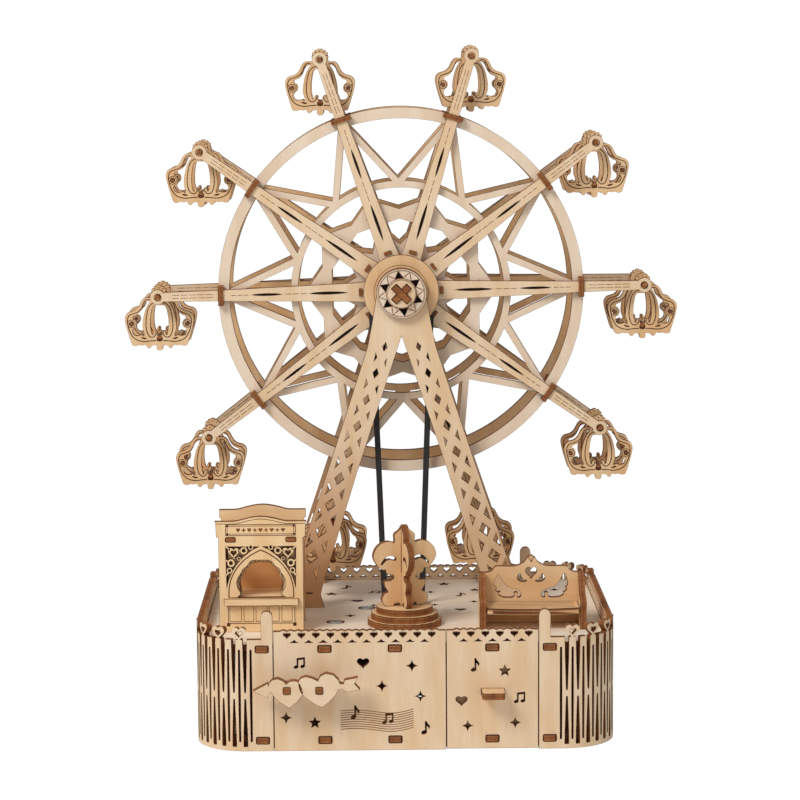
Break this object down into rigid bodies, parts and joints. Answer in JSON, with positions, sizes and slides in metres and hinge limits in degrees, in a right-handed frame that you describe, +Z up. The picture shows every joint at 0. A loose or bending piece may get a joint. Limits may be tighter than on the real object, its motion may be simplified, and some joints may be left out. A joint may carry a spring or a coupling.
{
  "type": "wooden ferris wheel music box puzzle",
  "caption": "Laser-cut plywood puzzle model of a fairground wheel turning over a music-box base with booth, bench and fountain.",
  "frame": {"origin": "middle of the footprint, on the surface that the box stands on", "axes": "+Z up, front (booth, fountain, bench, drawer and lever) towards -Y, the wheel turns about an axis along Y"},
  "size_m": [0.2674, 0.174, 0.3204],
  "materials": {
    "birch_ply": "raw sanded pale plywood, laser-cut brown edges",
    "basswood_ply": "raw sanded honey plywood, laser-cut brown edges",
    "scorched_ply": "plywood seen on its scorched cut edges",
    "belt_rubber": "matt black drive belt",
    "movement_brass": "satin brass",
    "screw_steel": "bright zinc"
  },
  "bodies": {
    "base": {"base_floor": "birch_ply", "deck_plate": "birch_ply", "left_wall": "birch_ply", "right_wall": "birch_ply", "front_panel": "birch_ply", "back_panel": "birch_ply", "front_legs": "birch_ply", "back_legs": "birch_ply", "booth_front": "basswood_ply", "booth_back": "basswood_ply", "booth_side_left": "basswood_ply", "booth_side_right": "basswood_ply", "booth_counter": "basswood_ply", "bench_back": "basswood_ply", "bench_seat": "basswood_ply", "bench_side_left": "basswood_ply", "bench_side_right": "basswood_ply", "fountain_tier_low": "basswood_ply", "fountain_tier_mid": "basswood_ply", "fountain_tier_top": "basswood_ply", "fountain_lily_across": "basswood_ply", "fountain_lily_along": "basswood_ply", "music_movement": "movement_brass", "deck_screw_1": "screw_steel", "deck_screw_2": "screw_steel", "deck_screw_3": "screw_steel", "drive_belt": "belt_rubber"},
    "wheel": {"wheel_axle": "scorched_ply", "hub_cap_front": "birch_ply", "hub_cap_back": "birch_ply", "belt_pulley": "basswood_ply", "spokes_front": "basswood_ply", "spokes_back": "basswood_ply", "wheel_rim_front": "birch_ply", "wheel_rim_back": "birch_ply", "rim_spacer_01": "scorched_ply", "rim_spacer_02": "scorched_ply", "rim_spacer_03": "scorched_ply", "rim_spacer_04": "scorched_ply", "rim_spacer_05": "scorched_ply", "rim_spacer_06": "scorched_ply", "rim_spacer_07": "scorched_ply", "rim_spacer_08": "scorched_ply", "rim_spacer_09": "scorched_ply", "rim_spacer_10": "scorched_ply"},
    "drive_pulley": {"lower_pulley": "basswood_ply"},
    "drawer": {"drawer_front": "birch_ply", "drawer_tray": "basswood_ply"},
    "start_lever": {"heart_arrow_lever": "basswood_ply"},
    "key": {"winding_key": "basswood_ply"},
    "car_01": {"cabin_01": "basswood_ply"},
    "car_02": {"cabin_02": "basswood_ply"},
    "car_03": {"cabin_03": "basswood_ply"},
    "car_04": {"cabin_04": "basswood_ply"},
    "car_05": {"cabin_05": "basswood_ply"},
    "car_06": {"cabin_06": "basswood_ply"},
    "car_07": {"cabin_07": "basswood_ply"},
    "car_08": {"cabin_08": "basswood_ply"},
    "car_09": {"cabin_09": "basswood_ply"},
    "car_10": {"cabin_10": "basswood_ply"}
  },
  "joints": [
    {"name": "wheel_spin", "type": "hinge", "parent": "base", "child": "wheel", "pos_m": [0, 0, 0.202], "axis": [0, 1, 0], "continuous": true},
    {"name": "pulley_spin", "type": "hinge", "parent": "base", "child": "drive_pulley", "pos_m": [0, 0, 0.028], "axis": [0, 1, 0], "continuous": true},
    {"name": "drawer_slide", "type": "slide", "parent": "base", "child": "drawer", "axis": [0, -1, 0], "range_m": [0, 0.05]},
    {"name": "lever_slide", "type": "slide", "parent": "base", "child": "start_lever", "axis": [1, 0, 0], "range_m": [0, 0.006]},
    {"name": "key_turn", "type": "hinge", "parent": "base", "child": "key", "pos_m": [-0.025, 0, 0.028], "axis": [0, 1, 0], "continuous": true},
    {"name": "car_swing_01", "type": "hinge", "parent": "wheel", "child": "car_01", "pos_m": [0.11728, 0, 0.20405], "axis": [0, 1, 0], "continuous": true},
    {"name": "car_swing_02", "type": "hinge", "parent": "wheel", "child": "car_02", "pos_m": [0.09368, 0, 0.27259], "axis": [0, 1, 0], "continuous": true},
    {"name": "car_swing_03", "type": "hinge", "parent": "wheel", "child": "car_03", "pos_m": [0.03429, 0, 0.31417], "axis": [0, 1, 0], "continuous": true},
    {"name": "car_swing_04", "type": "hinge", "parent": "wheel", "child": "car_04", "pos_m": [-0.03819, 0, 0.31291], "axis": [0, 1, 0], "continuous": true},
    {"name": "car_swing_05", "type": "hinge", "parent": "wheel", "child": "car_05", "pos_m": [-0.09609, 0, 0.26928], "axis": [0, 1, 0], "continuous": true},
    {"name": "car_swing_06", "type": "hinge", "parent": "wheel", "child": "car_06", "pos_m": [-0.11728, 0, 0.19995], "axis": [0, 1, 0], "continuous": true},
    {"name": "car_swing_07", "type": "hinge", "parent": "wheel", "child": "car_07", "pos_m": [-0.09368, 0, 0.13141], "axis": [0, 1, 0], "continuous": true},
    {"name": "car_swing_08", "type": "hinge", "parent": "wheel", "child": "car_08", "pos_m": [-0.03429, 0, 0.08983], "axis": [0, 1, 0], "continuous": true},
    {"name": "car_swing_09", "type": "hinge", "parent": "wheel", "child": "car_09", "pos_m": [0.03819, 0, 0.09109], "axis": [0, 1, 0], "continuous": true},
    {"name": "car_swing_10", "type": "hinge", "parent": "wheel", "child": "car_10", "pos_m": [0.09609, 0, 0.13472], "axis": [0, 1, 0], "continuous": true}
  ],
  "couplings": [
    {"joint": "pulley_spin", "follows": "wheel_spin", "ratio": 1.7901},
    {"joint": "car_swing_01", "follows": "wheel_spin", "ratio": -1},
    {"joint": "car_swing_02", "follows": "wheel_spin", "ratio": -1},
    {"joint": "car_swing_03", "follows": "wheel_spin", "ratio": -1},
    {"joint": "car_swing_04", "follows": "wheel_spin", "ratio": -1},
    {"joint": "car_swing_05", "follows": "wheel_spin", "ratio": -1},
    {"joint": "car_swing_06", "follows": "wheel_spin", "ratio": -1},
    {"joint": "car_swing_07", "follows": "wheel_spin", "ratio": -1},
    {"joint": "car_swing_08", "follows": "wheel_spin", "ratio": -1},
    {"joint": "car_swing_09", "follows": "wheel_spin", "ratio": -1},
    {"joint": "car_swing_10", "follows": "wheel_spin", "ratio": -1}
  ]
}
